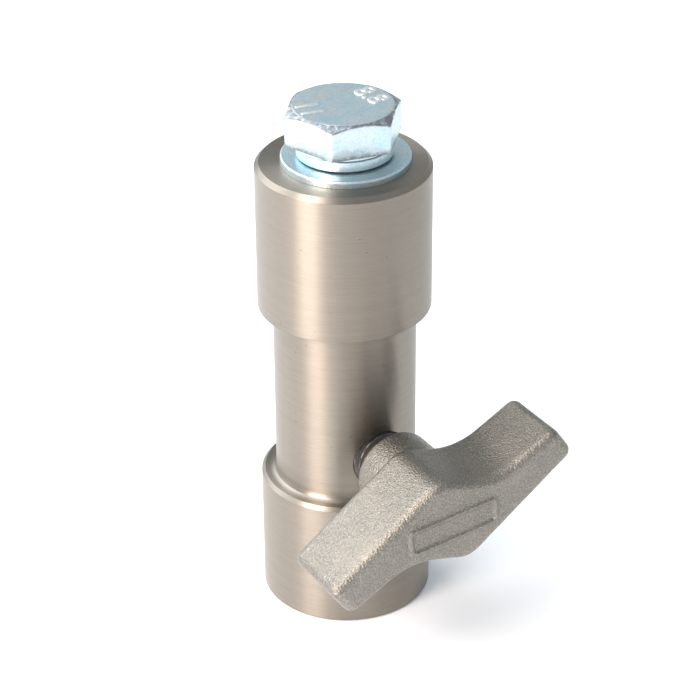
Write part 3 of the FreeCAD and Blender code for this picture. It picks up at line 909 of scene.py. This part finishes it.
def head_rings(sizes, columns):
    """Rings of points from the shank's root, round under the head, to the middle of its top."""
    seat = HEAD_TOP - sizes.head_height
    top = HEAD_TOP - sizes.mark_height
    slope = math.tan(sizes.crown_angle)
    under = seat + sizes.face_height
    round_rings = [(4.0 * MM, seat), (sizes.washer_face - 0.1 * MM, seat)]
    round_rings += [(sizes.washer_face, seat + 0.1 * MM), (sizes.washer_face, under - 0.02 * MM)]
    rings = [[(radius, height)] * columns for radius, height in round_rings]
    outline = [
        hexagon_radius(column * FULL_TURN / columns, sizes) for column in range(columns)
    ]
    crown = [min(top - (edge - sizes.disc_radius) * slope, top) for edge in outline]
    soft = sizes.edge_soft
    rings.append([(min(edge, sizes.washer_face + 0.02 * MM), under) for edge in outline])
    rings.append([(edge - soft, under) for edge in outline])
    rings.append([(edge - 0.3 * soft, under + 0.3 * soft) for edge in outline])
    rings.append([(edge, under + soft) for edge in outline])
    rings.append([(edge, high - 2 * soft) for edge, high in zip(outline, crown)])
    rings.append([(edge, high - 0.8 * soft) for edge, high in zip(outline, crown)])
    for inwards in (0.3 * soft, soft):
        rings.append([
            (edge - inwards, high - soft * 0.3 + inwards * slope * 0.8)
            for edge, high in zip(outline, crown)
        ])
    disc = sizes.disc_radius - 0.2 * MM
    rings += [[(disc, top - 0.02 * MM)] * columns, [(disc - 0.2 * MM, top)] * columns]
    rings += [[(disc * part, top)] * columns for part in (0.7, 0.4, 0.15)]
    return rings, (seat, top)


def ring_mesh(name, rings, columns, low, high):
    """Joins rings of (radius, height) pairs into a skin with a point at each end."""
    points = [
        (radius * math.cos(column * FULL_TURN / columns),
         radius * math.sin(column * FULL_TURN / columns), height)
        for ring in rings
        for column, (radius, height) in enumerate(ring)
    ]
    faces = []
    for row in range(len(rings) - 1):
        for column in range(columns):
            after = (column + 1) % columns
            here, above = row * columns, (row + 1) * columns
            faces.append((here + column, here + after, above + after, above + column))
    points += [(0.0, 0.0, low), (0.0, 0.0, high)]
    last = (len(rings) - 1) * columns
    for column in range(columns):
        after = (column + 1) % columns
        faces.append((after, column, len(points) - 2))
        faces.append((last + column, last + after, len(points) - 1))
    mesh = bpy.data.meshes.new(name)
    mesh.from_pydata(points, [], faces)
    face_out(mesh)
    piece = bpy.data.objects.new(name, mesh)
    link(piece)
    return piece


def thread(name, sizes, low, high, finish):
    """A threaded bar round Z with a chamfered low end and both ends closed."""
    values = {
        "Segments": sizes.segments, "Low end": low, "High end": high,
        "Crest radius": sizes.thread_radius, "Depth": sizes.thread_depth,
        "Pitch": sizes.thread_pitch, "Point chamfer": sizes.point_chamfer, "Finish": finish,
    }
    bar = grow(name, thread_tree(), values)
    face_out(bar.data, fill=True)
    return bar


class ADAPTOR_OT_bolt(bpy.types.Operator):
    """Build the hexagon bolt with its rolled thread"""

    bl_idname = "adaptor.bolt"
    bl_label = "Yoke Bolt"

    def execute(self, context):
        sizes = looks().bolt
        finish = finish_of(zinc_plate)
        rings, (seat, top) = head_rings(sizes, HEAD_COLUMNS)
        head = ring_mesh("bolt_head", rings, HEAD_COLUMNS, seat, top)
        head.data.materials.append(finish)
        move(head, Matrix.Rotation(sizes.corner_turn, 4, "Z"))
        shank = thread("bolt_shank", sizes, BOLT_POINT, seat + SHANK_OVERLAP, finish)
        bolt = join("hexagon_bolt", [head, shank])
        sharpen(bolt.data, 32)
        hand_over(bolt, "bolt", "zinc_plate", "yoke_bolt")
        return {"FINISHED"}


def figure_text(words, size, height, relief):
    """Raised figures with sloping flanks, centred on the XY plane, as a mesh object."""
    text = bpy.data.curves.new("figures", "FONT")
    text.body = words
    text.size = size
    text.extrude = height
    text.bevel_depth = relief - height
    text.bevel_resolution = 3
    text.offset = -0.02 * MM
    text.align_x = "CENTER"
    text.align_y = "CENTER"
    piece = bpy.data.objects.new("figures", text)
    link(piece)
    graph = bpy.context.evaluated_depsgraph_get()
    mesh = bpy.data.meshes.new_from_object(piece.evaluated_get(graph))
    bpy.data.objects.remove(piece)
    result = bpy.data.objects.new("figures", mesh)
    link(result)
    return result


class ADAPTOR_OT_head_marks(bpy.types.Operator):
    """Raise the strength class and two plain bars on the bolt's head"""

    bl_idname = "adaptor.head_marks"
    bl_label = "Head Marks"

    def execute(self, context):
        sizes = looks().bolt
        marks = []
        for words, turn in (("8.8", sizes.class_turn), ("I I", sizes.bars_turn)):
            mark = figure_text(words, sizes.mark_size, FIGURE_STEP, sizes.mark_height)
            face = Matrix.Rotation(turn, 4, "Z")
            seat = Matrix.Translation((0, sizes.mark_ring, HEAD_TOP - sizes.mark_height))
            move(mark, face @ seat)
            marks.append(mark)
        marks = join("head_marks", marks)
        marks.data.materials.clear()
        marks.data.materials.append(finish_of(worn_zinc))
        face_out(marks.data)
        sharpen(marks.data, 40)
        hand_over(marks, "bolt", "zinc_plate")
        return {"FINISHED"}


# ------------------------------------------------------------------------------------ washers


class ADAPTOR_OT_plain_washer(bpy.types.Operator):
    """Build the stamped plain washer"""

    bl_idname = "adaptor.plain_washer"
    bl_label = "Plain Washer"

    def execute(self, context):
        sizes = looks().washers
        outer = (PLAIN_HIGH.x - PLAIN_LOW.x) / 2
        edge = sizes.plain_edge
        corners = [
            (sizes.plain_hole, PLAIN_LOW.z, edge), (sizes.plain_hole, PLAIN_HIGH.z, edge),
            (outer, PLAIN_HIGH.z, 1.6 * edge), (outer, PLAIN_LOW.z, 0.4 * edge),
        ]
        loop = rounded([corners[-1], *corners, corners[0]])[1:-1]
        loop.append(loop[0])
        washer = turned("plain_washer_ring", loop, WASHER_FACETS, finish_of(zinc_plate))
        centre = middle("plain_washer")
        move(washer, Matrix.Translation((centre.x, centre.y, 0)))
        sharpen(washer.data, 32)
        hand_over(washer, "washers", "zinc_plate", "plain_washer")
        return {"FINISHED"}


class ADAPTOR_OT_spring_washer(bpy.types.Operator):
    """Build the split spring washer"""

    bl_idname = "adaptor.spring_washer"
    bl_label = "Spring Washer"

    def execute(self, context):
        sizes = looks().washers
        values = {
            "Inner radius": sizes.spring_hole, "Outer radius": sizes.spring_radius,
            "Wire height": sizes.spring_wire,
            "Rise": SPRING_HIGH.z - SPRING_LOW.z - sizes.spring_wire,
            "Start angle": sizes.spring_split + sizes.spring_gap / 2,
            "Sweep angle": FULL_TURN - sizes.spring_gap,
            "Edge rounding": sizes.spring_edge, "Finish": finish_of(zinc_plate),
        }
        washer = grow("spring_washer_ring", spring_tree(), values)
        face_out(washer.data)
        centre = middle("spring_washer")
        move(washer, Matrix.Translation((centre.x, centre.y, SPRING_LOW.z)))
        sharpen(washer.data, 32)
        hand_over(washer, "washers", "zinc_plate", "spring_washer")
        return {"FINISHED"}


# ------------------------------------------------------------------------------- clamp screw


def skin_tree():
    """Slow waves in a casting's skin, along each point's own normal."""
    shape = Shape("Cast skin")
    wave = shape.input("Wave height")
    size = shape.input("Waves per metre")
    finish = shape.input("Finish", "Material")
    noise = shape.add("ShaderNodeTexNoise", {}, {"Scale": size, "Detail": 2.0})
    normal = shape.add("GeometryNodeInputNormal")
    scale = {"Vector": normal, "Scale": (noise - 0.6) * wave}
    offset = shape.add("ShaderNodeVectorMath", {"operation": "SCALE"}, scale)
    formed = {"Geometry": shape.geometry, "Offset": offset}
    return shape.close(shape.add("GeometryNodeSetPosition", {}, formed), finish)


def recast(name, node, sizes):
    """A copy of a CAD node with its skin rebuilt on a fine grid and its edges softened."""
    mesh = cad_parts[node].data.copy()
    mesh.materials.clear()
    face_out(mesh)
    piece = bpy.data.objects.new(name, mesh)
    link(piece)
    remesh = piece.modifiers.new("skin", "REMESH")
    remesh.mode = "VOXEL"
    remesh.voxel_size = sizes.skin_cell
    soften = piece.modifiers.new("soften", "SMOOTH")
    soften.factor = 0.5
    soften.iterations = sizes.softening
    settle(piece)
    return run_tree(piece, skin_tree(), {
        "Wave height": sizes.skin_wave, "Waves per metre": sizes.waves,
        "Finish": finish_of(cast_metal),
    })


class ADAPTOR_OT_handle(bpy.types.Operator):
    """Build the cast tee handle"""

    bl_idname = "adaptor.handle"
    bl_label = "Tee Handle"

    def execute(self, context):
        handle = recast("tee_handle", "clamp_handle", looks().handle)
        handle.data.shade_smooth()
        hand_over(handle, "handle", "cast_metal", "clamp_handle")
        return {"FINISHED"}


def pad_form(name, finish, play=0.0):
    """The thrust pad standing on its face, or the hollow that holds it with some play."""
    sizes = looks().pad
    radius, stem = width("thrust_pad") / 2 + play, sizes.stem_radius + play
    face, back = -PAD_FACE.y - play, -PAD_BACK.y + play
    step, edge = face + sizes.thickness + 2 * play, sizes.edge_round
    profile = rounded([
        (0.0, face, 0.0), (radius, face, sizes.face_round), (radius, step, edge),
        (stem, step, edge), (stem, back, edge), (0.0, back, 0.0),
    ])
    return turned(name, profile, SCREW_FACETS, finish)


class ADAPTOR_OT_stud(bpy.types.Operator):
    """Build the clamp screw's threaded stud"""

    bl_idname = "adaptor.stud"
    bl_label = "Clamp Stud"

    def execute(self, context):
        sizes = looks().bolt
        finish = finish_of(stud_steel)
        stud = thread("clamp_screw", sizes, -STUD_NOSE.y, -STUD_BACK.y, finish)
        cut(stud, pad_form("nose_hollow", finish, looks().pad.play))
        move(stud, ALONG_SCREW)
        sharpen(stud.data, 40)
        hand_over(stud, "handle", "stud_steel", "clamp_stud")
        return {"FINISHED"}


class ADAPTOR_OT_pad(bpy.types.Operator):
    """Build the brass thrust pad at the screw's nose"""

    bl_idname = "adaptor.pad"
    bl_label = "Thrust Pad"

    def execute(self, context):
        pad = pad_form("thrust_pad_disc", finish_of(pad_brass))
        move(pad, ALONG_SCREW)
        sharpen(pad.data, 32)
        hand_over(pad, "pad", "pad_brass", "thrust_pad")
        return {"FINISHED"}


# -------------------------------------------------------------------------------------- stage


FLOOR_HALF = 6.0
FLOOR_LEVEL = -0.02 * MM
ROOM_TINT = (0.94, 0.975, 1.0, 1.0)
SOFT_LIGHTS = {  # place, size and tint of each
    "key": ((-0.50, -0.13, 0.28), (0.26, 0.5), (1.0, 0.86, 0.77)),
    "top": ((-0.28, 0.2, 0.72), (0.7, 0.6), (1.0, 1.0, 1.0)),
    "back": ((-0.28, 0.62, 0.5), (0.8, 0.6), (0.95, 0.98, 1.0)),
}


def soft_light(name, watts, place, size, tint):
    """A rectangular softbox that faces the middle of the part."""
    lamp = bpy.data.lights.new(name, "AREA")
    lamp.shape = "RECTANGLE"
    lamp.size, lamp.size_y = size
    lamp.energy = watts
    lamp.color = tint
    light = bpy.data.objects.new(name, lamp)
    light.location = place
    aim = Vector((0, 0, BODY_TOP / 2)) - Vector(place)
    light.rotation_euler = aim.to_track_quat("-Z", "Y").to_euler()
    link(light)


def add_camera(sizes):
    """The camera, held at its angles with its own small roll."""
    flat = math.cos(sizes.elevation)
    outward = Vector((
        math.sin(sizes.azimuth) * flat, -math.cos(sizes.azimuth) * flat, math.sin(sizes.elevation)
    ))
    right = UP.cross(outward).normalized()
    up = outward.cross(right)
    across = right * math.cos(sizes.roll) + up * math.sin(sizes.roll)
    over = up * math.cos(sizes.roll) - right * math.sin(sizes.roll)
    place = Vector(sizes.aim) + outward * sizes.distance
    lens = bpy.data.cameras.new("camera")
    lens.lens = sizes.lens
    lens.shift_y = sizes.shift
    lens.clip_start = 10 * MM
    camera = bpy.data.objects.new("camera", lens)
    facing = Matrix((across, over, outward)).transposed().to_4x4()
    camera.matrix_world = Matrix.Translation(place) @ facing
    link(camera)
    bpy.context.scene.camera = camera


class ADAPTOR_OT_stage(bpy.types.Operator):
    """Lay the floor, hang the soft lights and place the camera"""

    bl_idname = "adaptor.stage"
    bl_label = "Stage"

    def execute(self, context):
        sizes = looks().stage
        signs = ((-1, -1), (1, -1), (1, 1), (-1, 1))
        corners = [(x * FLOOR_HALF, y * FLOOR_HALF, FLOOR_LEVEL) for x, y in signs]
        mesh = bpy.data.meshes.new("floor")
        mesh.from_pydata(corners, [], [(0, 1, 2, 3)])
        mesh.materials.append(finish_of(pale_floor))
        floor = bpy.data.objects.new("floor", mesh)
        link(floor)
        for name, (place, size, tint) in SOFT_LIGHTS.items():
            soft_light(name, getattr(sizes, name), place, size, tint)
        world = bpy.data.worlds.new("room")
        world.use_nodes = True
        background = world.node_tree.nodes["Background"]
        background.inputs["Color"].default_value = ROOM_TINT
        background.inputs["Strength"].default_value = sizes.room
        context.scene.world = world
        context.scene.view_settings.view_transform = "Standard"
        add_camera(sizes)
        return {"FINISHED"}


# ------------------------------------------------------------------------------------- add-on

OPERATORS = (
    ADAPTOR_OT_spigot, ADAPTOR_OT_bolt, ADAPTOR_OT_head_marks, ADAPTOR_OT_plain_washer,
    ADAPTOR_OT_spring_washer, ADAPTOR_OT_handle, ADAPTOR_OT_stud, ADAPTOR_OT_pad, ADAPTOR_OT_stage,
)


class ADAPTOR_PT_looks(bpy.types.Panel):
    """Lists the pieces in the order they are built."""

    bl_idname = "ADAPTOR_PT_looks"
    bl_label = "Spigot Adaptor"
    bl_space_type = "VIEW_3D"
    bl_region_type = "UI"
    bl_category = "Adaptor"

    def draw(self, context):
        for operator in OPERATORS:
            self.layout.operator(operator.bl_idname)


CLASSES = (
    SpigotSizes, BoltSizes, WasherSizes, HandleSizes, PadSizes, Finishes, StageSizes, AdaptorLooks,
    *OPERATORS, ADAPTOR_PT_looks,
)


def register():
    for item in CLASSES:
        bpy.utils.register_class(item)
    bpy.types.Scene.adaptor_looks = PointerProperty(type=AdaptorLooks)


def unregister():
    del bpy.types.Scene.adaptor_looks
    for item in reversed(CLASSES):
        bpy.utils.unregister_class(item)


def main():
    """Builds every piece in order."""
    register()
    for operator in OPERATORS:
        group, name = operator.bl_idname.split(".")
        getattr(getattr(bpy.ops, group), name)()


if __name__ == "__main__":
    main()
